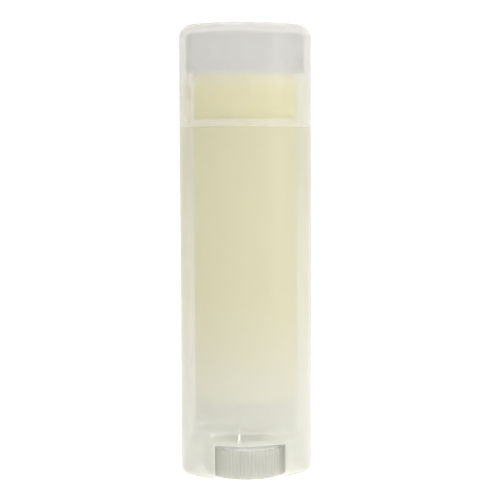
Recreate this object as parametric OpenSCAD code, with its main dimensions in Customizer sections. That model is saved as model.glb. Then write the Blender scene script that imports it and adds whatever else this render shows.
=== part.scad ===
// Oval twist-up lip balm tube, standing on its foot with its cap on.
// Lengths in millimetres. +Z runs up the tube, +X along the oval's long way, -Y is the front.
// The origin is the middle of the foot.

/* [Body] */
// Long way across the oval body
body_w = 20; // [18:0.5:24]
// Short way across the oval body
body_d = 13; // [11.5:0.5:14]
// Height of the body, from the foot up to the shoulder that the cap stands on
body_h = 52.4; // [40:0.1:70]
// Thickness of the floor between the dial's bay and the balm
floor_t = 1.6; // [1.2:0.1:2.4]
// Thickness of the wall around the dial's bay
foot_wall = 1.3; // [1.1:0.1:1.6]
// Radius of the foot's outer edge
foot_edge_r = 1; // [0.4:0.1:1.1]

/* [Thumb windows] */
// Height of the windows, which is also the height of the dial's bay
window_h = 5.1; // [4.8:0.1:7]
// How far each side of a window stands clear of the place where the dial comes through the wall
window_margin = 0.4; // [0.3:0.05:0.9]
// Radius of the windows' upper corners
window_corner_r = 0.4; // [0.2:0.05:0.8]

/* [Neck] */
// Height of the neck above the shoulder
neck_h = 8; // [6.5:0.5:12]
// Thickness of the neck's wall, which sets the bore that holds the balm
neck_wall = 1.15; // [0.8:0.05:1.4]
// Width of the tabs on the neck's two narrow ends
tab_w = 5; // [3:0.5:6]
// Height of the tabs
tab_h = 4; // [3:0.25:4.5]
// How far the tabs stand out from the neck
tab_t = 0.25; // [0.15:0.05:0.35]
// Height of the tabs' rounded lower end above the shoulder
tab_lift = 2.2; // [1.5:0.1:2.5]

/* [Cap] */
// Thickness of the cap's side wall
cap_wall = 1; // [0.9:0.05:1.3]
// Thickness of the cap's flat top
cap_top_t = 1.3; // [0.8:0.1:2]
// Radius of the cap's outer upper edge
cap_edge_r = 2; // [1.2:0.1:2.5]
// Empty height between the neck's rim and the inside of the cap's top
head_room = 6.1; // [5:0.1:12]
// Height of the tapered lead-in inside the cap's mouth
lead_in_h = 1.1; // [0.5:0.1:1.4]
// Width that the lead-in takes off the cap's wall at the mouth
lead_in_w = 0.45; // [0.2:0.05:0.6]

/* [Dial] */
// Thickness of the ribbed wheel
dial_t = 4.3; // [3.5:0.1:4.4]
// How far the wheel's underside is held off the ground
dial_lift = 0.05; // [0.05:0.05:0.3]
// How far the wheel's ribs stand back from the front and back of the body
dial_inset = 0.05; // [0:0.05:0.3]
// Number of ribs around the wheel
rib_n = 72; // [48:4:96]
// Depth of the grooves between the ribs
rib_depth = 0.22; // [0.1:0.02:0.3]
// Size of the bevel on the wheel's two edges
dial_bevel = 0.3; // [0.1:0.05:0.5]
// Diameter of the shallow recess under the wheel
recess_d = 8; // [6:0.5:9]
// Depth of the shallow recess under the wheel
recess_depth = 0.5; // [0.3:0.1:1.5]
// Diameter of the boss that keeps the wheel off the floor
boss_d = 7.4; // [6.8:0.1:8.5]
// Diameter of the hub that turns in the floor
hub_d = 5.9; // [4.8:0.1:6.2]
// How far the hub's snap collar reaches past the edge of the hole in the floor
collar_catch = 0.2; // [0.1:0.05:0.4]
// Height of the snap collar
collar_h = 1; // [0.8:0.1:2]
// Amount by which the collar's radius shrinks towards its top
collar_taper = 0.6; // [0.2:0.1:0.9]
// Diameter of the spindle over its thread
spindle_d = 3; // [2.4:0.1:3.6]
// Depth of balm that covers the spindle's upper end
spindle_cover = 4.5; // [3:0.5:6]

/* [Elevator] */
// Thickness of the elevator's floor
elevator_t = 1; // [0.8:0.1:2]
// Thickness of the elevator's cup wall
cup_wall = 0.6; // [0.4:0.1:1]
// Height of the cup wall above the elevator's floor
cup_h = 2; // [1:0.5:5]
// Thickness of the nut tube's wall
nut_wall = 0.9; // [0.6:0.1:1.2]
// Height of the nut tube above the elevator's floor
nut_h = 5; // [3:0.5:10]

/* [Balm] */
// How far the balm's edge lies below the neck's rim
balm_drop = 0.15; // [0:0.05:1]
// Depth to which the middle of the balm's top has sunk as it set
sink_depth = 1; // [0.3:0.1:1.5]
// Width of the balm's level rim around the sunk middle
sink_rim = 0.8; // [0.4:0.1:1]
// Width of the slope from that rim down to the sunk middle
sink_slope = 1.4; // [0.8:0.1:1.6]

/* [Fits] */
// Gap between the cap and the neck, all round
cap_gap = 0.05; // [0.03:0.01:0.12]
// Gap between the neck's tabs and their channels in the cap
tab_gap = 0.1; // [0.06:0.02:0.2]
// Gap around a turning or threaded shaft
turn_gap = 0.05; // [0.03:0.01:0.1]
// Gap between the bore and the elevator that slides in it
slide_gap = 0.1; // [0.05:0.01:0.15]
// Gap between the bore and the balm
balm_gap = 0.05; // [0.02:0.01:0.1]
// Gap above and below the floor where the dial's boss and collar run on it
end_gap = 0.1; // [0.05:0.01:0.2]

/* [Hidden] */
$fn = 128;
// Overshoot of a cutting shape past the face it opens
over = 1;
// The oval is four arcs that blend where their radii slope 3 across to 4 back, the draughtsman's
// 3-4-5 oval: two ends of radius end_r, centred end_x out from the middle, and a front and back of
// radius side_r, each centred side_y past the middle. oval_unit is the 1 of that 3-4-5.
oval_unit = (body_w - body_d) / 4;
end_x = 3 * oval_unit;
end_r = body_w / 2 - end_x;
side_y = 4 * oval_unit;
side_r = body_d / 2 + side_y;
// Depth of each fitted oval face below the body's outer face
neck_in = cap_wall + cap_gap;
tab_in = neck_in - tab_t;
channel_in = tab_in - tab_gap;
bore_in = neck_in + neck_wall;
elevator_in = bore_in + slide_gap;
cup_in = elevator_in + cup_wall;
balm_in = bore_in + balm_gap;
// Heights, from the foot up
floor_top = window_h + floor_t;
neck_top = body_h + neck_h;
cap_ceiling = neck_top + head_room;
cap_top = cap_ceiling + cap_top_t;
collar_z = floor_top + end_gap;
elevator_z = collar_z + collar_h + end_gap;
cup_floor = elevator_z + elevator_t;
cup_rim = cup_floor + cup_h;
nut_top = cup_floor + nut_h;
balm_top = neck_top - balm_drop;
spindle_top = balm_top - spindle_cover;
// Width of the sink's slope, kept within the balm's round ends
sink_run = min(sink_slope, end_r - balm_in - sink_rim - 0.2);
// Radii of the turning parts
wheel_r = body_d / 2 - dial_inset;
hub_hole_r = hub_d / 2 + turn_gap;
collar_r = hub_hole_r + collar_catch;
spindle_hole_r = spindle_d / 2 + turn_gap;
nut_r = spindle_hole_r + nut_wall;
// Place where the wheel's rim comes through the inner face of the bay's front wall, rounded up to
// a hundredth of a millimetre
break_y = (pow(side_r - foot_wall, 2) - pow(wheel_r, 2) - pow(side_y, 2)) / (2 * side_y);
break_x = ceil(100 * sqrt(pow(wheel_r, 2) - pow(break_y, 2))) / 100;
window_w = 2 * (break_x + window_margin);

// Outline of the oval, its face lying the given depth below the body's outer face
module flat_oval(inset) {
    for (side = [0, 1]) mirror([side, 0]) intersection() {
        translate([end_x, 0]) circle(end_r - inset);
        end_sector();
    }
    intersection() {
        translate([0, side_y]) circle(side_r - inset);
        translate([0, -side_y]) circle(side_r - inset);
        side_sectors();
    }
}

// The part of the plan that the oval's right-hand end arc spans
module end_sector() {
    far = body_w;
    polygon([[end_x, 0], [end_x + 3 * far, -4 * far], [end_x + 3 * far, 4 * far]]);
}

// The part of the plan that the oval's front and back arcs span
module side_sectors() {
    far = body_w;
    polygon([[end_x, 0], [end_x + 3 * far, 4 * far], [-end_x - 3 * far, 4 * far],
        [-end_x, 0], [-end_x - 3 * far, -4 * far], [end_x + 3 * far, -4 * far]]);
}

// Upright oval solid from one height to another
module oval(inset, low, high) {
    translate([0, 0, low]) linear_extrude(height = high - low) flat_oval(inset);
}

// Solid made by taking a half profile all round the oval. The profile finds the body's outer
// face at x = $face, which is the radius of the arc that it is being taken round.
module around_oval() {
    for (side = [0, 1]) mirror([side, 0, 0]) intersection() {
        translate([end_x, 0, 0]) rotate_extrude() let($face = end_r) children();
        linear_extrude(height = 4 * cap_top, center = true) end_sector();
    }
    intersection() {
        translate([0, side_y, 0]) rotate_extrude() let($face = side_r) children();
        translate([0, -side_y, 0]) rotate_extrude() let($face = side_r) children();
        linear_extrude(height = 4 * cap_top, center = true) side_sectors();
    }
}

// Half profile with rounded outer corners, for around_oval
module rounded_profile(inset, low, high, low_r, high_r) {
    edge = $face - inset;
    difference() {
        translate([0, low]) square([edge, high - low]);
        if (low_r > 0) translate([edge - low_r, low + low_r]) mirror([0, 1]) corner_waste(low_r);
        if (high_r > 0) translate([edge - high_r, high - high_r]) corner_waste(high_r);
    }
}

// What a rounding takes off a corner, with the rounding's centre at the origin
module corner_waste(r) {
    difference() {
        square(r + over);
        circle(r);
    }
}

// Outline of a thumb window, reaching down past the foot
module window_outline() {
    difference() {
        translate([-window_w / 2, -over]) square([window_w, window_h + over]);
        for (side = [0, 1]) mirror([side, 0])
            translate([window_w / 2 - window_corner_r, window_h - window_corner_r])
                corner_waste(window_corner_r);
    }
}

// Outline of a neck tab seen from the tube's narrow end, with its lower end rounded
module tab_outline() {
    translate([0, tab_w / 2]) circle(d = tab_w);
    translate([-tab_w / 2, tab_w / 2]) square([tab_w, max(tab_h - tab_w / 2, 0.5)]);
}

// The tabs on both narrow ends of the neck
module neck_tabs() {
    intersection() {
        oval(tab_in, body_h, neck_top);
        translate([0, 0, body_h + tab_lift]) rotate([90, 0, 90])
            linear_extrude(height = body_w, center = true) tab_outline();
    }
}

module barrel() {
    color([0.87, 0.87, 0.84]) difference() {
        union() {
            around_oval() rounded_profile(0, 0, body_h, foot_edge_r, 0);
            oval(neck_in, floor_top, neck_top);
            neck_tabs();
        }
        oval(bore_in, floor_top, neck_top + over);
        oval(foot_wall, -over, window_h);
        rotate([90, 0, 0]) linear_extrude(height = 2 * body_d, center = true) window_outline();
        cylinder(r = hub_hole_r, h = floor_top + over);
    }
}

// Outline of the ribbed wheel, with four corners to a rib
module wheel_outline() {
    step = 360 / rib_n;
    root_r = wheel_r - rib_depth;
    corners = [[root_r, 0], [root_r, 0.3], [wheel_r, 0.5], [wheel_r, 0.8]];
    polygon([for (i = [0:rib_n - 1]) for (c = corners) c[0] * [cos((i + c[1]) * step), sin((i + c[1]) * step)]]);
}

// Disc that bevels both edges of the wheel where the two shapes overlap
module wheel_bevels() {
    rotate_extrude() polygon([[0, 0], [wheel_r - dial_bevel, 0], [wheel_r + over, dial_bevel + over],
        [wheel_r + over, dial_t - dial_bevel - over], [wheel_r - dial_bevel, dial_t], [0, dial_t]]);
}

module dial() {
    color([0.8, 0.8, 0.77]) difference() {
        union() {
            translate([0, 0, dial_lift]) intersection() {
                linear_extrude(height = dial_t) wheel_outline();
                wheel_bevels();
            }
            translate([0, 0, dial_lift]) cylinder(d = boss_d, h = window_h - end_gap - dial_lift);
            translate([0, 0, dial_lift]) cylinder(d = hub_d, h = collar_z + collar_h / 2 - dial_lift);
            translate([0, 0, collar_z]) cylinder(r1 = collar_r, r2 = collar_r - collar_taper, h = collar_h);
            translate([0, 0, dial_lift]) cylinder(d = spindle_d, h = spindle_top - dial_lift);
        }
        cylinder(d = recess_d, h = dial_lift + recess_depth);
    }
}

module elevator() {
    color([0.93, 0.93, 0.9]) difference() {
        union() {
            difference() {
                oval(elevator_in, elevator_z, cup_rim);
                oval(cup_in, cup_floor, cup_rim + over);
            }
            translate([0, 0, elevator_z]) cylinder(r = nut_r, h = nut_top - elevator_z);
        }
        translate([0, 0, elevator_z - over]) cylinder(r = spindle_hole_r, h = nut_top - elevator_z + 2 * over);
    }
}

module balm() {
    color([0.9, 0.88, 0.62]) difference() {
        union() {
            oval(cup_in, cup_floor, cup_rim);
            oval(balm_in, cup_rim, balm_top);
        }
        translate([0, 0, cup_floor - over]) cylinder(r = nut_r, h = nut_h + over);
        translate([0, 0, cup_floor - over]) cylinder(r = spindle_hole_r, h = spindle_top + end_gap - cup_floor + over);
        around_oval() sink_profile();
    }
}

// Half profile of the hollow in the balm's top, for around_oval
module sink_profile() {
    rim = $face - balm_in - sink_rim;
    steepness = sink_depth / sink_run;
    polygon([[0, balm_top - sink_depth], [rim - sink_run, balm_top - sink_depth],
        [rim + over, balm_top + over * steepness], [0, balm_top + over * steepness]]);
}

module cap() {
    color([0.86, 0.86, 0.84]) difference() {
        around_oval() rounded_profile(0, body_h, cap_top, 0, cap_edge_r);
        around_oval() rounded_profile(cap_wall, body_h - over, cap_ceiling, 0, max(cap_edge_r - cap_wall, 0.3));
        around_oval() lead_in_profile();
        tab_channels();
    }
}

// Half profile of the taper that opens the cap's mouth, for around_oval
module lead_in_profile() {
    edge = $face - cap_wall;
    polygon([[0, body_h - lead_in_h], [edge + 2 * lead_in_w, body_h - lead_in_h],
        [edge - lead_in_w, body_h + 2 * lead_in_h], [0, body_h + 2 * lead_in_h]]);
}

// Channels inside the cap that let the neck's tabs pass as it goes on and off
module tab_channels() {
    intersection() {
        oval(channel_in, body_h - over, neck_top);
        translate([-body_w / 2, -tab_w / 2 - tab_gap, 0]) cube([body_w, tab_w + 2 * tab_gap, cap_top]);
    }
}

barrel();
dial();
elevator();
balm();
cap();
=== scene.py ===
import math

import bmesh
import bpy
from mathutils import Matrix, Vector


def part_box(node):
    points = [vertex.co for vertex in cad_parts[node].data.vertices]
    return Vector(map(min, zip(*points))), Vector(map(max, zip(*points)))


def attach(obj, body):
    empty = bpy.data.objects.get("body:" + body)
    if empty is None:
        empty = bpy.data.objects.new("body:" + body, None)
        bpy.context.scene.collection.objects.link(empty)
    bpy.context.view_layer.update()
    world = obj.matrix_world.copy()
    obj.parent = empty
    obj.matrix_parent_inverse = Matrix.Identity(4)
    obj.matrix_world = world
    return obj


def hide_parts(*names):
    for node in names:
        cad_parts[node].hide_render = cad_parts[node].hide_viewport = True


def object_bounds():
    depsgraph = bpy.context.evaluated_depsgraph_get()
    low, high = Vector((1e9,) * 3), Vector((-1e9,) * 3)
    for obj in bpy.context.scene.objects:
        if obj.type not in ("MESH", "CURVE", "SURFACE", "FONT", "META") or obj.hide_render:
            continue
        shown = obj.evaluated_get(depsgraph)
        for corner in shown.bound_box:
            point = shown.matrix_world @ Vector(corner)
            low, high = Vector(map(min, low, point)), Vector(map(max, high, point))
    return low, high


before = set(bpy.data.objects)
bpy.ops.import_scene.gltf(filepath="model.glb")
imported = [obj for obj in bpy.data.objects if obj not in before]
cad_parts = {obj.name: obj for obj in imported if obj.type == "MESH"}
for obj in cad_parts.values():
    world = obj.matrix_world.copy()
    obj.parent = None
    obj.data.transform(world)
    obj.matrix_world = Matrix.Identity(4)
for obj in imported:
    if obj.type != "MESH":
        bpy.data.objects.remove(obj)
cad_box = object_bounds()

# The barrel is the oval tube that holds the balm, with the neck that the cap goes over and a bay
# for the dial under its floor. It is natural polypropylene, injection-moulded in one piece in a
# fine spark-eroded mould. The windows for the thumb go through the front and the back of the bay.

MM = 0.001  # one millimetre, in metres; the sizes below are in millimetres


def heights(node):
    """Heights of the lowest and the highest point of a CAD node, in millimetres."""
    return [round(corner[2] / MM, 2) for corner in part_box(node)]


body_w = round(2 * cad_box[1][0] / MM, 2)
body_d = round(2 * cad_box[1][1] / MM, 2)
body_h = heights("cap")[0]  # the cap sits on the body's shoulder
neck_top = heights("barrel")[1]
neck_in = 1.05  # sizes that end in _in are measured inwards from the oval's outer face
bore_in = 2.2
floor_top = 6.7
floor_fall = 0.45  # the floor slopes that much down to the wall
hub_hole_r = 3.0
window_h = 5.1
window_w = 10.66
window_corner_r = 0.4
ceiling_rise = 0.3  # the bay's ceiling lies that much over its windows
slope_end = 0.2  # the slopes of the floor and the ceiling end that far from the wall
foot_wall = 1.3
foot_edge_r = 1.0
tab_in = 0.8
tab_half_w = 2.5
tab_low = 54.6
tab_high = 58.6
soft_edge = 0.06  # radius of the edges that a mould leaves a little soft
overlap = 1.0  # a tool reaches that far past what it cuts, or into what it joins

# Rings that divide the long straight walls.
outer_ring_heights = (20, 36)
bore_ring_heights = (40, 20)
neck_ring_height = body_h + 4

# The oval is four arcs, two ends and a front and back, which meet where the outward direction
# slopes 3 across to 4 back. Its share across is 3/5 there.
oval_unit = (body_w - body_d) / 4
end_x = 3 * oval_unit
end_r = body_w / 2 - end_x
side_y = 4 * oval_unit
side_r = body_d / 2 + side_y
corner_angle = math.atan2(4, 3)
corner_across = 3 / 5
rounding_error = 1e-9
END_STEPS = 44
SIDE_STEPS = 60


def face_directions():
    """Outward directions round the oval, as angles: right end, back, left end, front."""
    turns = []
    for quarter in range(4):
        half, steps = corner_angle, END_STEPS
        if quarter % 2:
            half, steps = math.pi / 2 - corner_angle, SIDE_STEPS
        start = quarter * math.pi / 2 - half
        turns += [start + 2 * half * i / steps for i in range(steps)]
    return turns


directions = face_directions()


def face_point(angle, inset):
    """Point that lies inset below the oval's outer face, where that face looks along the angle."""
    across, back = math.cos(angle), math.sin(angle)
    if abs(across) > corner_across - rounding_error:
        return (math.copysign(end_x, across) + (end_r - inset) * across, (end_r - inset) * back)
    return ((side_r - inset) * across, -math.copysign(side_y, back) + (side_r - inset) * back)


def oval_ring(inset, height):
    """Oval that lies inset below the outer face, as a ring of points at one height."""
    return [(*face_point(angle, inset), height) for angle in directions]


def round_ring(radius, height):
    """Circle with as many points as the oval, each in line with the oval's own."""
    points = []
    for angle in directions:
        x, y = face_point(angle, 0)
        reach = math.hypot(x, y)
        points.append((radius * x / reach, radius * y / reach, height))
    return points


def rounded(inset, height, radius, start, steps):
    """Oval rings over a quarter-round edge. Its centre lies at inset and height, and it starts
    at the angle start, where 0 looks outwards and 90 up."""
    rings = []
    for i in range(steps + 1):
        a = math.radians(start + 90 * i / steps)
        rings.append(oval_ring(inset - radius * math.cos(a), height + radius * math.sin(a)))
    return rings


def add_object(name, work):
    """Puts what has been built in work into the scene, as an object of its own."""
    mesh = bpy.data.meshes.new(name)
    work.to_mesh(mesh)
    work.free()
    made = bpy.data.objects.new(name, mesh)
    bpy.context.scene.collection.objects.link(made)
    return made


def skin(name, bands, joined):
    """Mesh piece through rings that have as many points each. They come in bands, each a finish
    and its rings, and a face takes the finish of the ring that it leads to. Where joined, the last
    ring meets the first, and otherwise both end rings are closed flat."""
    work = bmesh.new()
    loops = [(finish, [work.verts.new(Vector(point) * MM) for point in ring])
             for finish, rings in bands for ring in rings]
    pairs = list(zip(loops, loops[1:]))
    if joined:
        pairs.append((loops[-1], loops[0]))
    else:
        work.faces.new(loops[0][1])
        work.faces.new(loops[-1][1]).material_index = loops[-1][0]
    for (_, one), (finish, two) in pairs:
        for i in range(len(one)):
            work.faces.new((one[i - 1], one[i], two[i], two[i - 1])).material_index = finish
    bmesh.ops.recalc_face_normals(work, faces=work.faces)
    return add_object(name, work)


def smooth(piece, sharpest=32):
    """Shades a piece smooth, with its creases over that many degrees kept crisp."""
    piece.data.shade_smooth()
    piece.data.set_sharp_from_angle(angle=math.radians(sharpest))


def carve(piece, tool, operation):
    """Cuts the tool out of the piece, or joins it on, and does away with the tool."""
    cut = piece.modifiers.new("cut", "BOOLEAN")
    cut.operation = operation
    cut.solver = "EXACT"
    cut.object = tool
    done = piece.evaluated_get(bpy.context.evaluated_depsgraph_get())
    mesh = bpy.data.meshes.new_from_object(done)
    piece.modifiers.clear()
    piece.data = mesh
    bpy.data.objects.remove(tool)


def linear(hex_colour):
    """Linear colour, with alpha, from an sRGB hex value such as "d8d6cc"."""
    parts = [int(hex_colour[i:i + 2], 16) / 255 for i in (0, 2, 4)]
    return tuple(p / 12.92 if p <= 0.04045 else ((p + 0.055) / 1.055) ** 2.4 for p in parts) + (1.0,)


def add_node(tree, kind, values=None, links=None):
    """Adds a node, sets its properties and sockets, and links sockets into it. A socket goes by its
    name, or by its number where several share a name. A colour Mix takes its factor at 0 and its
    colours at 6 and 7, and gives the mixed colour at 2. A Math node takes its numbers from 0 on."""
    node = tree.nodes.new(kind)
    for key, value in (values or {}).items():
        if isinstance(key, int) or key in node.inputs:
            node.inputs[key].default_value = value
        else:
            setattr(node, key, value)
    for key, source in (links or {}).items():
        tree.links.new(source, node.inputs[key])
    return node


def new_material(name):
    """Empty node material, with its tree and its output node."""
    material = bpy.data.materials.new(name)
    material.use_nodes = True
    tree = material.node_tree
    tree.nodes.clear()
    return material, tree, tree.nodes.new("ShaderNodeOutputMaterial")


plastic_ior = 1.49
scatter_tint = (1.0, 1.0, 0.95)  # blue light goes a little less far in the plastic
scatter_depth = 1.5
grain_size = 0.3  # the mould's grain, really about 0.05 mm and drawn coarser so that it shows
grain_depth = 0.02
grain_strength = 0.25
cloud_size = 9.0  # slow changes in the plastic, from the way it flowed into the mould
cloud_share = 0.3  # how much they change its tint
haze_spread = 0.06  # how much they change its roughness
face_on = 0.25  # the wall goes from its opacity to its edge opacity between these two slants
edge_on = 0.8
balm_light_from = 7.0  # painted light: the balm behind the wall warms its tint between these two heights
balm_light_to = 28.0
balm_light_share = 0.85  # share of the second tint over that height


def polypropylene(name, low_tint, tint, opacity, edge_opacity, roughness, low=balm_light_from, high=balm_light_to):
    """Natural polypropylene, milky all through. Its wall lets some light straight on, which the
    opacity leaves out, and scatters the rest, so that what lies inside looks pale and veiled, the
    more so where the wall is seen edge-on. Its tint goes over from the low one to the other between
    two heights; that change is painted light, the balm's yellow that the wall picks up where the
    balm lies behind it. A fine grain softens the sheen."""
    material, tree, output = new_material(name)
    place = add_node(tree, "ShaderNodeTexCoord").outputs["Object"]
    grain = add_node(tree, "ShaderNodeTexNoise", {"Scale": 1 / (grain_size * MM), "Detail": 2.0},
                     {"Vector": place})
    clouds = add_node(tree, "ShaderNodeTexNoise", {"Scale": 1 / (cloud_size * MM), "Detail": 2.0},
                      {"Vector": place})
    bump = add_node(tree, "ShaderNodeBump", {"Strength": grain_strength, "Distance": grain_depth * MM},
                    {"Height": grain.outputs["Fac"]})
    haze = add_node(tree, "ShaderNodeMapRange",
                    {"To Min": roughness - haze_spread, "To Max": roughness + haze_spread},
                    {"Value": clouds.outputs["Fac"]})
    slant = add_node(tree, "ShaderNodeLayerWeight", {"Blend": 0.5}).outputs["Facing"]
    veil = add_node(tree, "ShaderNodeMapRange",
                    {"From Min": face_on, "From Max": edge_on, "To Min": opacity, "To Max": edge_opacity},
                    {"Value": slant})
    height = add_node(tree, "ShaderNodeSeparateXYZ", links={"Vector": place}).outputs["Z"]
    balm_light = add_node(tree, "ShaderNodeMapRange",
                      {"From Min": low * MM, "From Max": high * MM, "To Max": balm_light_share}, {"Value": height})
    cloudy = add_node(tree, "ShaderNodeMath", {"operation": "MULTIPLY_ADD", 1: cloud_share},
                      {0: clouds.outputs["Fac"], 2: balm_light.outputs["Result"]})
    colour = add_node(tree, "ShaderNodeMix",
                      {"data_type": "RGBA", 6: linear(low_tint), 7: linear(tint)},
                      {0: cloudy.outputs["Value"]})
    shader = add_node(tree, "ShaderNodeBsdfPrincipled",
                      {"IOR": plastic_ior, "Subsurface Weight": 1.0, "Subsurface Radius": scatter_tint,
                       "Subsurface Scale": scatter_depth * MM},
                      {"Base Color": colour.outputs[2], "Roughness": haze.outputs["Result"],
                       "Alpha": veil.outputs["Result"], "Normal": bump.outputs["Normal"]})
    tree.links.new(shader.outputs["BSDF"], output.inputs["Surface"])
    return material


FROSTED, SMOOTH, NECK, EDGE = range(4)
barrel = skin("barrel_shell", [
    (FROSTED, [*rounded(foot_edge_r, foot_edge_r, foot_edge_r, start=-90, steps=10),
               *[oval_ring(0, height) for height in outer_ring_heights],
               *rounded(soft_edge, body_h - soft_edge, soft_edge, start=0, steps=4)]),
    (NECK, [oval_ring(neck_in, body_h), oval_ring(neck_in, neck_ring_height),
            *rounded(neck_in + soft_edge, neck_top - soft_edge, soft_edge, start=0, steps=4),
            oval_ring(bore_in - soft_edge, neck_top)]),
    (SMOOTH, [oval_ring(bore_in, neck_top - soft_edge),
              *[oval_ring(bore_in, height) for height in bore_ring_heights],
              oval_ring(bore_in, floor_top)]),
    (EDGE, [oval_ring(bore_in + slope_end, floor_top - floor_fall), round_ring(hub_hole_r, floor_top)]),
    (SMOOTH, [round_ring(hub_hole_r, window_h + ceiling_rise),
              oval_ring(foot_wall + slope_end, window_h + ceiling_rise),
              oval_ring(foot_wall, window_h), oval_ring(foot_wall, 0)]),
], joined=True)

# The spark-eroded outer skin is matt and veils the balm. The mould's polished core leaves the bore
# smooth, so that it hardly dims what lies behind it. The neck is smooth too, and its whiter tint is
# painted light, a glow that stands for the light it gets inside the cap. The floor's top and the
# edges of the front window and the tabs are painted nearly white, painted light for the light that
# such edges gather, as the edge of a clear sheet does. Each finish is given its two tints, its
# opacity face-on and edge-on, and its roughness.
for finish in (polypropylene("polypropylene_frosted_body", "c9c9bf", "c6c3b0", 0.67, 0.88, 0.36),
               polypropylene("polypropylene_smooth_bore", "eaeae2", "d0cec0", 0.15, 0.50, 0.20),
               polypropylene("polypropylene_smooth_neck_painted_light", "f2f1ea", "f4f2e6", 0.22, 0.80, 0.20),
               polypropylene("polypropylene_edge_painted_light", "fafaf2", "f6f4e6", 0.80, 0.95, 0.20)):
    barrel.data.materials.append(finish)


def window_prism():
    """Block as wide as the thumb windows, through the whole depth, with round upper corners. It
    leaves edges painted nearly white, painted light, on the front window and smooth ones on the back
    window."""
    half = window_w / 2
    corner_steps = 6
    outline = [(-half, -overlap), (half, -overlap)]
    for side in (1, -1):
        turn = [math.radians(90 * i / corner_steps) for i in range(corner_steps + 1)]
        arc = [(side * (half - window_corner_r + window_corner_r * math.cos(a)),
                window_h - window_corner_r + window_corner_r * math.sin(a)) for a in turn]
        outline += arc if side == 1 else arc[::-1]
    work = bmesh.new()
    rings = []
    for y in (-body_d, 0, body_d):
        rings.append([work.verts.new(Vector((x, y, z)) * MM) for x, z in outline])
    near, middle, far = rings
    work.faces.new(near)
    work.faces.new(far)
    for i in range(len(near)):
        work.faces.new((near[i - 1], near[i], middle[i], middle[i - 1])).material_index = EDGE
        work.faces.new((middle[i - 1], middle[i], far[i], far[i - 1])).material_index = SMOOTH
    bmesh.ops.recalc_face_normals(work, faces=work.faces)
    return add_object("window_prism", work)


def end_block(name, inset, back_x, half_w, low_at, high, finish, side_finish):
    """Block on each narrow end of the oval. Its outer face follows the oval at inset, its back is
    flat at back_x, and low_at gives its lower edge for each y. The outer face and the back take the
    finish, and the four sides between them take the side finish."""
    work = bmesh.new()
    columns, rows = 24, 6
    for side in (1, -1):
        grid = []
        for depth in (0, 1):
            sheet = []
            for i in range(columns + 1):
                y = half_w * (2 * i / columns - 1)
                x = back_x if depth else end_x + math.sqrt((end_r - inset) ** 2 - y * y)
                low = low_at(y)
                sheet.append([work.verts.new(Vector((side * x, y, low + (high - low) * j / rows)) * MM)
                              for j in range(rows + 1)])
            grid.append(sheet)
        for i in range(columns):
            for j in range(rows):
                for sheet in grid:
                    corners = (sheet[i][j], sheet[i + 1][j], sheet[i + 1][j + 1], sheet[i][j + 1])
                    work.faces.new(corners).material_index = finish
        front, rear = grid
        for i in range(columns):
            for j in (0, rows):
                corners = (front[i][j], front[i + 1][j], rear[i + 1][j], rear[i][j])
                work.faces.new(corners).material_index = side_finish
        for j in range(rows):
            for i in (0, columns):
                corners = (front[i][j], front[i][j + 1], rear[i][j + 1], rear[i][j])
                work.faces.new(corners).material_index = side_finish
    bmesh.ops.recalc_face_normals(work, faces=work.faces)
    return add_object(name, work)


tab_back_x = end_x + end_r - neck_in - overlap
tab_round = tab_half_w - 0.001  # a little less than the half circle, so that its root stays over 0


def tab_low_at(y):
    """Lower edge of a neck tab, a half circle."""
    return tab_low + tab_half_w - math.sqrt(tab_half_w ** 2 - min(abs(y), tab_round) ** 2)


carve(barrel, window_prism(), "DIFFERENCE")
tabs = end_block("neck_tabs", tab_in, tab_back_x, tab_half_w, tab_low_at, tab_high, SMOOTH, EDGE)
carve(barrel, tabs, "UNION")
smooth(barrel)
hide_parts("barrel")
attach(barrel, "tube")

# The dial is the ribbed thumb wheel in the bay, moulded in one with the hub that clicks through
# the barrel's floor and the screw that drives the balm. It is natural polypropylene too, but so
# thick that it looks nearly solid, and the ribs are smooth where the thumb runs over them.

wheel_r = 6.45
rib_n = 72
rib_depth = 0.09
rib_flat = 1.5  # over 1, it leaves the crests of the ribs flat
dial_low, screw_top = heights("dial")
dial_high = 4.35
dial_bevel = 0.3
flat_r = wheel_r - rib_depth - dial_bevel
# The bevel's rings, each inwards from the rim, up from the face, and its share of the ribs' depth.
bevel = ((dial_bevel, 0.0, 0.2), (0.1, 0.16, 0.8), (0.0, dial_bevel, 1.0))
recess_r = 4.0
recess_top = 0.55
boss_r = 3.7
boss_top = 5.0
hub_r = 2.95
collar_r = 3.2
collar_top_r = 2.6
collar_low = 6.8
collar_high = 7.8
collar_lip = 0.15
centre_r = 0.5  # the flat faces are closed inside this radius
fine_edge = 0.1  # chamfers where no finger comes
key_angle = -118  # a fine raised key on the hub, a light line in the photograph
key_rise = 0.03
key_depth = 0.4
key_width = 0.34
key_low = boss_top - 0.1
key_high = floor_top
screw_r = 1.5
screw_root_r = 1.12
screw_pitch = 2.5
screw_flank = 4.2  # the thread falls off that steeply on each side of its crest
screw_crest = 1.6  # over 1, it leaves the crest flat
screw_tip_h = 0.6  # the tip tapers over that height, down to its share of the full width
screw_tip = 0.75
POINTS_PER_RIB = 8
# The dial's finishes: the hub's waist has painted shade, the wheel's top and the collar painted light,
# and the key a painted glow.
MOULDED, PAINTED_SHADE, PAINTED_LIGHT, KEY = range(4)


def turned_ring(radius, height, ribs=0.0):
    """Circle with eight points to a rib, and with grooves that deep."""
    points = []
    for i in range(rib_n * POINTS_PER_RIB):
        crest = 0.5 - 0.5 * math.cos(2 * math.pi * i / POINTS_PER_RIB)
        r = radius - ribs * (1 - min(1.0, rib_flat * crest))
        a = 2 * math.pi * i / (rib_n * POINTS_PER_RIB)
        points.append((r * math.cos(a), r * math.sin(a), height))
    return points


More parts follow.
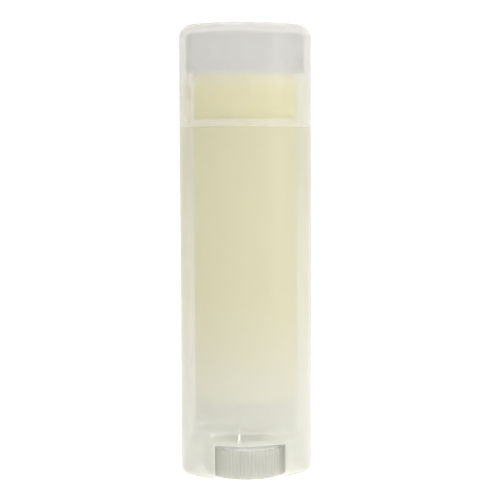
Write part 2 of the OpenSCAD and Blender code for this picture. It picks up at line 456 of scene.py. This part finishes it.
dial = skin("dial_wheel", [
    (MOULDED, [turned_ring(centre_r, recess_top), turned_ring(recess_r - fine_edge, recess_top),
               turned_ring(recess_r, recess_top - fine_edge), turned_ring(recess_r, dial_low),
               turned_ring(flat_r, dial_low),
               *[turned_ring(wheel_r - inwards, dial_low + up, rib_depth * share)
                 for inwards, up, share in bevel],
               *[turned_ring(wheel_r - inwards, dial_high - up, rib_depth * share)
                 for inwards, up, share in bevel[::-1]]]),
    (PAINTED_LIGHT, [turned_ring(flat_r, dial_high), turned_ring(boss_r, dial_high),
           turned_ring(boss_r, boss_top), turned_ring(hub_r, boss_top)]),
    (PAINTED_SHADE, [turned_ring(hub_r, collar_low)]),
    (PAINTED_LIGHT, [turned_ring(collar_r, collar_low), turned_ring(collar_r, collar_low + collar_lip)]),
    (MOULDED, [turned_ring(collar_top_r, collar_high)]),
    (PAINTED_LIGHT, [turned_ring(centre_r, collar_high)]),
], joined=False)


def screw():
    """Left-hand screw of one start, so that turning the dial anticlockwise lifts the balm."""
    around, step = 40, 0.2
    bottom = collar_high - overlap
    count = round((screw_top - bottom) / step)
    rings = []
    for k in range(count + 1):
        height = bottom + (screw_top - bottom) * k / count
        width = screw_tip + (1 - screw_tip) * min(1.0, (screw_top - height) / screw_tip_h)
        ring = []
        for i in range(around):
            a = 2 * math.pi * i / around
            phase = (height / screw_pitch + i / around) % 1.0
            crest = min(1.0, max(0.0, screw_crest - screw_flank * abs(phase - 0.5)))
            r = (screw_root_r + (screw_r - screw_root_r) * crest) * width
            ring.append((r * math.cos(a), r * math.sin(a), height))
        rings.append(ring)
    return skin("screw", [(0, rings)], joined=False)


def hub_key():
    """Upright key on the side of the hub, a plain bar."""
    middle = Vector((hub_r + key_rise - key_depth / 2, 0, (key_low + key_high) / 2))
    turned = Matrix.Rotation(math.radians(key_angle), 4, "Z")
    sized = Matrix.Diagonal((key_depth, key_width, key_high - key_low, 1))
    work = bmesh.new()
    bmesh.ops.create_cube(work, size=MM, matrix=turned @ Matrix.Translation(middle * MM) @ sized)
    for face in work.faces:
        face.material_index = KEY
    return add_object("hub_key", work)


dial_cloud_size = 4.0
dial_grain_strength = 0.15
dial_haze = (0.32, 0.44)


def dial_plastic(name, tint, milky_tint, depth, glow):
    """The dial's thick milky plastic, faintly cloudy, with light soaking through its ribs. The glow
    stands for the light that reaches them from inside the wheel, which the renderer leaves out."""
    material, tree, output = new_material(name)
    place = add_node(tree, "ShaderNodeTexCoord").outputs["Object"]
    clouds = add_node(tree, "ShaderNodeTexNoise",
                      {"Scale": 1 / (dial_cloud_size * MM), "Detail": 3.0}, {"Vector": place})
    grain = add_node(tree, "ShaderNodeTexNoise", {"Scale": 1 / (grain_size * MM), "Detail": 2.0},
                     {"Vector": place})
    bump = add_node(tree, "ShaderNodeBump",
                    {"Strength": dial_grain_strength, "Distance": grain_depth * MM},
                    {"Height": grain.outputs["Fac"]})
    colour = add_node(tree, "ShaderNodeMix",
                      {"data_type": "RGBA", 6: linear(tint), 7: linear(milky_tint)},
                      {0: clouds.outputs["Fac"]})
    haze = add_node(tree, "ShaderNodeMapRange", {"To Min": dial_haze[0], "To Max": dial_haze[1]},
                    {"Value": clouds.outputs["Fac"]})
    shader = add_node(tree, "ShaderNodeBsdfPrincipled",
                      {"IOR": plastic_ior, "Subsurface Weight": 1.0, "Subsurface Radius": scatter_tint,
                       "Subsurface Scale": depth * MM, "Emission Strength": glow},
                      {"Base Color": colour.outputs[2], "Emission Color": colour.outputs[2],
                       "Roughness": haze.outputs["Result"], "Normal": bump.outputs["Normal"]})
    tree.links.new(shader.outputs["BSDF"], output.inputs["Surface"])
    return material


# The moulded wheel looks grey and dull beside the bright stage, and its glow is painted light.
# Hardly any light comes to the hub in its hole, so its waist is painted near black, a painted shade
# that shows as a dark patch through the wall, and its key is painted white and glowing, a fine
# painted light line. The wheel's top, the boss and the collar are painted nearly white, painted
# light for what reaches them through the floor and the bay's walls. Each finish is given its two
# tints, how deep light goes into it, in millimetres, and its glow.
for finish in (dial_plastic("polypropylene_moulded_dial", "85857d", "8d8d85", 5.0, 0.9),
               dial_plastic("polypropylene_hub_painted_shade", "0c0c0d", "121213", 0.1, 0.0),
               dial_plastic("polypropylene_wheel_top_painted_light", "fafaf4", "fcfcf8", 3.0, 0.04),
               dial_plastic("polypropylene_key_painted_glow", "fafaf4", "fcfcf8", 3.0, 1.2)):
    dial.data.materials.append(finish)
carve(dial, screw(), "UNION")
carve(dial, hub_key(), "UNION")
smooth(dial, sharpest=40)
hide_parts("dial")
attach(dial, "dial")

# The elevator is the shallow cup under the balm, with a nut tube in its middle that the screw
# runs through. It is polypropylene, moulded smooth, and the balm is poured hot on top of it.

elevator_in = 2.3
cup_in = 2.9
elevator_low, nut_top = heights("elevator")
cup_floor, balm_top = heights("balm")
cup_rim = 10.9
nut_r = 2.45
nut_bore_r = 1.55

elevator = skin("elevator_cup", [(0, [
    round_ring(nut_bore_r, elevator_low),
    oval_ring(elevator_in + fine_edge, elevator_low), oval_ring(elevator_in, elevator_low + fine_edge),
    oval_ring(elevator_in, cup_rim - fine_edge), oval_ring(elevator_in + fine_edge, cup_rim),
    oval_ring(cup_in - fine_edge, cup_rim), oval_ring(cup_in, cup_rim - fine_edge),
    oval_ring(cup_in, cup_floor + fine_edge), oval_ring(cup_in + fine_edge, cup_floor),
    round_ring(nut_r, cup_floor), round_ring(nut_r, nut_top - fine_edge),
    round_ring(nut_r - fine_edge, nut_top), round_ring(nut_bore_r, nut_top),
])], joined=True)
smooth(elevator)

# Smooth and seen against the balm, it looks white and nearly solid.
elevator.data.materials.append(
    polypropylene("polypropylene_smooth_elevator", "fcfcf8", "f8f8f0", 0.90, 0.97, 0.20))
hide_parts("elevator")
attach(elevator, "stick")

# The balm is beeswax and oil, poured hot into the barrel and left to set. It shrinks as it cools,
# so its top has sunk in the middle and left a rim that clings to the bore.

balm_in = 2.18  # a hair into the barrel's wall, because the balm clings to it
balm_bore_top = screw_top + 0.1
balm_ring_heights = (40, 25)
rim_profile = ((0.25, 0.02), (0.08, 0.1), (0.0, 0.3))  # the rim's round edge, inwards and down
sink_rim = 0.8
sink_slope = 1.4
sink_depth = 1.0
sink_steps = 8
sunk_shares = (0.1, 0.3, 0.5, 0.7, 0.85)  # how far out the rings in the hollow lie
swell_h = 0.06  # low swells in the sunken top, from the way it set
swell_across = 0.9
swell_back = 1.3
swell_start = 1.0


def sunk_rings():
    """Rings from the middle of the balm's top out to its rim, over the hollow."""
    rings = []
    inner = balm_in + sink_rim + sink_slope
    for share in sunk_shares:
        ring = []
        for x, y, _ in oval_ring(inner, 0):
            swell = (swell_h * math.sin(swell_across * x * share + swell_start)
                     * math.cos(swell_back * y * share))
            ring.append((x * share, y * share, balm_top - sink_depth + swell))
        rings.append(ring)
    for i in range(sink_steps + 1):
        t = i / sink_steps
        ease = t * t * (3 - 2 * t)
        rings.append(oval_ring(inner - sink_slope * t, balm_top - sink_depth * (1 - ease)))
    return rings


balm = skin("balm_stick", [(0, [
    *sunk_rings(),
    *[oval_ring(balm_in + inwards, balm_top - down) for inwards, down in rim_profile],
    *[oval_ring(balm_in, height) for height in balm_ring_heights],
    oval_ring(balm_in, cup_rim), oval_ring(cup_in, cup_rim), oval_ring(cup_in, cup_floor),
    round_ring(nut_r, cup_floor), round_ring(nut_r, nut_top), round_ring(nut_bore_r, nut_top),
    round_ring(nut_bore_r, balm_bore_top),
])], joined=False)
smooth(balm, sharpest=50)

# Poured wax sets smooth and a little greasy, so it has a soft sheen, and light soaks into it and
# makes it glow pale yellow. It is painted paler by the elevator, painted light from the white stage
# below, and it is paler again near its rim.
balm_cloud_size = 5.0
balm_scatter = (1.0, 0.9, 0.55)
bloom_size = 0.4  # the fine bloom on the wax
bloom_depth = 0.03
stage_light_from = 9.0  # painted light from the stage below: it gets less pale from the elevator up, between these two heights
stage_light_to = 26.0
rim_from = 58.0  # and paler again between these two
rim_to = 58.9
rim_paleness = 0.35

material, tree, output = new_material("beeswax_balm_poured")
place = add_node(tree, "ShaderNodeTexCoord").outputs["Object"]
clouds = add_node(tree, "ShaderNodeTexNoise", {"Scale": 1 / (balm_cloud_size * MM), "Detail": 4.0},
                  {"Vector": place})
bloom = add_node(tree, "ShaderNodeTexNoise", {"Scale": 1 / (bloom_size * MM), "Detail": 3.0},
                 {"Vector": place})
yellow = add_node(tree, "ShaderNodeMix",
                  {"data_type": "RGBA", 6: linear("e8e092"), 7: linear("ece4a2")},
                  {0: clouds.outputs["Fac"]})
height = add_node(tree, "ShaderNodeSeparateXYZ", links={"Vector": place}).outputs["Z"]
stage_light = add_node(tree, "ShaderNodeMapRange",
                 {"From Min": stage_light_from * MM, "From Max": stage_light_to * MM, "To Min": 1.0, "To Max": 0.0},
                 {"Value": height})
rim_paling = add_node(tree, "ShaderNodeMapRange",
                     {"From Min": rim_from * MM, "From Max": rim_to * MM, "To Max": rim_paleness},
                     {"Value": height})
paler = add_node(tree, "ShaderNodeMath", {"operation": "MAXIMUM"},
                 {0: stage_light.outputs["Result"], 1: rim_paling.outputs["Result"]})
colour = add_node(tree, "ShaderNodeMix", {"data_type": "RGBA", 7: linear("f2efe2")},
                  {0: paler.outputs["Value"], 6: yellow.outputs[2]})
bump = add_node(tree, "ShaderNodeBump", {"Strength": 0.2, "Distance": bloom_depth * MM},
                {"Height": bloom.outputs["Fac"]})
sheen = add_node(tree, "ShaderNodeMapRange", {"To Min": 0.38, "To Max": 0.55},
                 {"Value": clouds.outputs["Fac"]})
shader = add_node(tree, "ShaderNodeBsdfPrincipled",
                  {"IOR": 1.45, "Subsurface Weight": 0.6, "Subsurface Radius": balm_scatter,
                   "Subsurface Scale": scatter_depth * MM},
                  {"Base Color": colour.outputs[2], "Roughness": sheen.outputs["Result"],
                   "Normal": bump.outputs["Normal"]})
tree.links.new(shader.outputs["BSDF"], output.inputs["Surface"])
balm.data.materials.append(material)
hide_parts("balm")
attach(balm, "stick")

# The cap is a thin oval cup that is pulled straight off the neck. It is natural polypropylene,
# frosted as the barrel is, with a flat top, a lip and a taper inside its mouth that lead it on,
# and a channel inside each narrow end for the neck's tab.

cap_wall = 1.0
cap_top = heights("cap")[1]
cap_ceiling = 66.5
cap_edge_r = 2.0
cap_inner_r = 1.0
cap_ring_height = 60
plate_shares = (0.15, 0.5, 0.85)  # how far out the rings in a flat plate lie
seam_gap = 0.03
mouth = body_h + seam_gap
round_middle = 0.3  # how far the middle of a quarter round lies in, as a share of its radius
lead_in_h = 1.1
lead_in_w = 0.45
lip_h = 0.45  # the lip below the taper
lip_w = 0.12
channel_in = 0.7
channel_half_w = 2.6
head_from = 58.0  # the cap's tint changes between these two heights, over which the head is empty; the warmer tint below is painted light from the balm
head_to = 61.0
TAPER, RIM, LINING = 2, 3, 4  # the cap's finishes besides FROSTED and SMOOTH


def plate_rings(inset, height):
    """Rings that take a flat oval plate in towards its middle."""
    return [[(x * share, y * share, height) for x, y, _ in oval_ring(inset, height)]
            for share in plate_shares]


cap = skin("cap_shell", [
    (FROSTED, [*plate_rings(cap_edge_r, cap_top),
               *rounded(cap_edge_r, cap_top - cap_edge_r, cap_edge_r, start=0, steps=12)[::-1],
               oval_ring(0, cap_ring_height), oval_ring(0, mouth + soft_edge)]),
    (RIM, [oval_ring(soft_edge * round_middle, mouth + soft_edge * round_middle),
           oval_ring(soft_edge, mouth), oval_ring(cap_wall - lead_in_w, mouth),
           oval_ring(cap_wall - lead_in_w + lip_w, body_h + lip_h)]),
    (TAPER, [oval_ring(cap_wall, body_h + lead_in_h)]),
    (SMOOTH, [oval_ring(cap_wall, neck_top)]),
    (LINING, [*rounded(cap_wall + cap_inner_r, cap_ceiling - cap_inner_r, cap_inner_r,
                       start=0, steps=8),
              *plate_rings(cap_wall + cap_inner_r, cap_ceiling)[::-1]]),
], joined=False)

# The frosted skin is matt, and its wall is thinner than the barrel's, so it veils less. The smooth
# inside hardly shows. The taper, the lip and the lower edge are painted nearly white, painted light
# for the light that they gather, and draw the white line at the seam. The head's lining is drawn
# darker than the real one, because here the white stage shines through the head from behind.
for finish in (polypropylene("polypropylene_frosted_cap", "c8c5b5", "cac8c1", 0.38, 0.70, 0.36,
                             head_from, head_to),
               polypropylene("polypropylene_smooth_cap", "eae8de", "e3e3db", 0.06, 0.30, 0.20,
                             head_from, head_to),
               polypropylene("polypropylene_taper_painted_light", "fcfaec", "f8f6e6", 0.62, 0.85, 0.20),
               polypropylene("polypropylene_lip_painted_light", "fdfbf2", "fbf9ee", 0.80, 0.95, 0.20),
               polypropylene("polypropylene_head_lining", "aaaaa8", "a8a8a6", 0.34, 0.60, 0.20)):
    cap.data.materials.append(finish)


def channel_low_at(_):
    """Lower edge of a channel's tool, level all along and below the cap's mouth."""
    return body_h - overlap


channels = end_block("cap_channels", channel_in, end_x, channel_half_w, channel_low_at, neck_top,
                     SMOOTH, SMOOTH)
carve(cap, channels, "DIFFERENCE")
smooth(cap)
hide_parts("cap")
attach(cap, "cap")

# The stage is a sheet of white acrylic, lit from below as for pictures on white, in a white room.
# The room is dimmer to the left and right, so that the tube's rounded ends show grey on it.

sheet_reach = 1.5  # metres, from the middle of the sheet to its edge
sheen_size = 1000 / 6  # slow changes in the sheet's satin, in millimetres
sheet_glow = 0.55
room_side = 0.58
room_front = 1.10

work = bmesh.new()
bmesh.ops.create_grid(work, x_segments=1, y_segments=1, size=sheet_reach)
floor = add_object("floor", work)

# Satin acrylic is even and white, with hardly any reflection.
material, tree, output = new_material("white_acrylic_sheet")
place = add_node(tree, "ShaderNodeTexCoord").outputs["Object"]
clouds = add_node(tree, "ShaderNodeTexNoise", {"Scale": 1 / (sheen_size * MM)}, {"Vector": place})
satin = add_node(tree, "ShaderNodeMapRange", {"To Min": 0.5, "To Max": 0.6},
                 {"Value": clouds.outputs["Fac"]})
shader = add_node(tree, "ShaderNodeBsdfPrincipled",
                  {"Base Color": linear("f4f4f4"), "Emission Color": linear("ffffff"),
                   "Emission Strength": sheet_glow, "Specular IOR Level": 0.1},
                  {"Roughness": satin.outputs["Result"]})
tree.links.new(shader.outputs["BSDF"], output.inputs["Surface"])
floor.data.materials.append(material)

world = bpy.data.worlds.new("studio")
bpy.context.scene.world = world
world.use_nodes = True
tree = world.node_tree
tree.nodes.clear()
output = tree.nodes.new("ShaderNodeOutputWorld")
look = add_node(tree, "ShaderNodeTexCoord").outputs["Generated"]
parts = add_node(tree, "ShaderNodeSeparateXYZ", links={"Vector": look})
along = add_node(tree, "ShaderNodeMath", {"operation": "ABSOLUTE"}, {0: parts.outputs["Y"]})
shade = add_node(tree, "ShaderNodeMapRange",
                 {"From Min": 0.1, "From Max": 0.7, "To Min": room_side, "To Max": room_front},
                 {"Value": along.outputs["Value"]})
glow = add_node(tree, "ShaderNodeBackground", {"Color": linear("ffffff")},
                {"Strength": shade.outputs["Result"]})
tree.links.new(glow.outputs["Background"], output.inputs["Surface"])

lamp_target = Vector((0, 0, 0.03))  # near the middle of the tube; lamps are placed in metres


def softbox(name, place, size, power):
    """Studio lamp with a diffuser of that width and height, turned to face the tube."""
    lamp = bpy.data.lights.new(name, "AREA")
    lamp.shape = "RECTANGLE"
    lamp.size, lamp.size_y = size
    lamp.energy = power
    holder = bpy.data.objects.new(name, lamp)
    holder.location = place
    holder.rotation_euler = (lamp_target - Vector(place)).to_track_quat("-Z", "Y").to_euler()
    bpy.context.scene.collection.objects.link(holder)


softbox("softbox_right", place=(0.33, -0.32, 0.20), size=(0.06, 0.6), power=0.75)
softbox("softbox_top", place=(0.0, -0.05, 0.6), size=(0.5, 0.5), power=1.6)
bpy.context.scene.view_settings.view_transform = "Standard"

# The camera stands a little to the left of the front and above the middle of the tube, as it did
# for the photograph, and looks slightly down. Its values were fitted to the photograph.

turn = math.radians(5.981)
reach = 184.48
camera_height = 47.69
pitch = math.radians(1.978)
roll = math.radians(0.242)
focal_px = 1213.9
centre_px = (245.75, 200.0)
frame_px = 500

forward = Vector((math.sin(turn) * math.cos(pitch), math.cos(turn) * math.cos(pitch), -math.sin(pitch)))
level_right = Vector((math.cos(turn), -math.sin(turn), 0))
level_up = level_right.cross(forward)
right = math.cos(roll) * level_right - math.sin(roll) * level_up
up = math.cos(roll) * level_up + math.sin(roll) * level_right
lens = bpy.data.cameras.new("camera")
lens.sensor_width = 36.0
lens.lens = focal_px * lens.sensor_width / frame_px
lens.shift_x = 0.5 - centre_px[0] / frame_px
lens.shift_y = centre_px[1] / frame_px - 0.5
lens.clip_start = 0.005
camera = bpy.data.objects.new("camera", lens)
spot = Vector((-reach * math.sin(turn), -reach * math.cos(turn), camera_height)) * MM
camera.matrix_world = Matrix((
    (right.x, up.x, -forward.x, spot.x),
    (right.y, up.y, -forward.y, spot.y),
    (right.z, up.z, -forward.z, spot.z),
    (0, 0, 0, 1)))
bpy.context.scene.collection.objects.link(camera)
bpy.context.scene.camera = camera
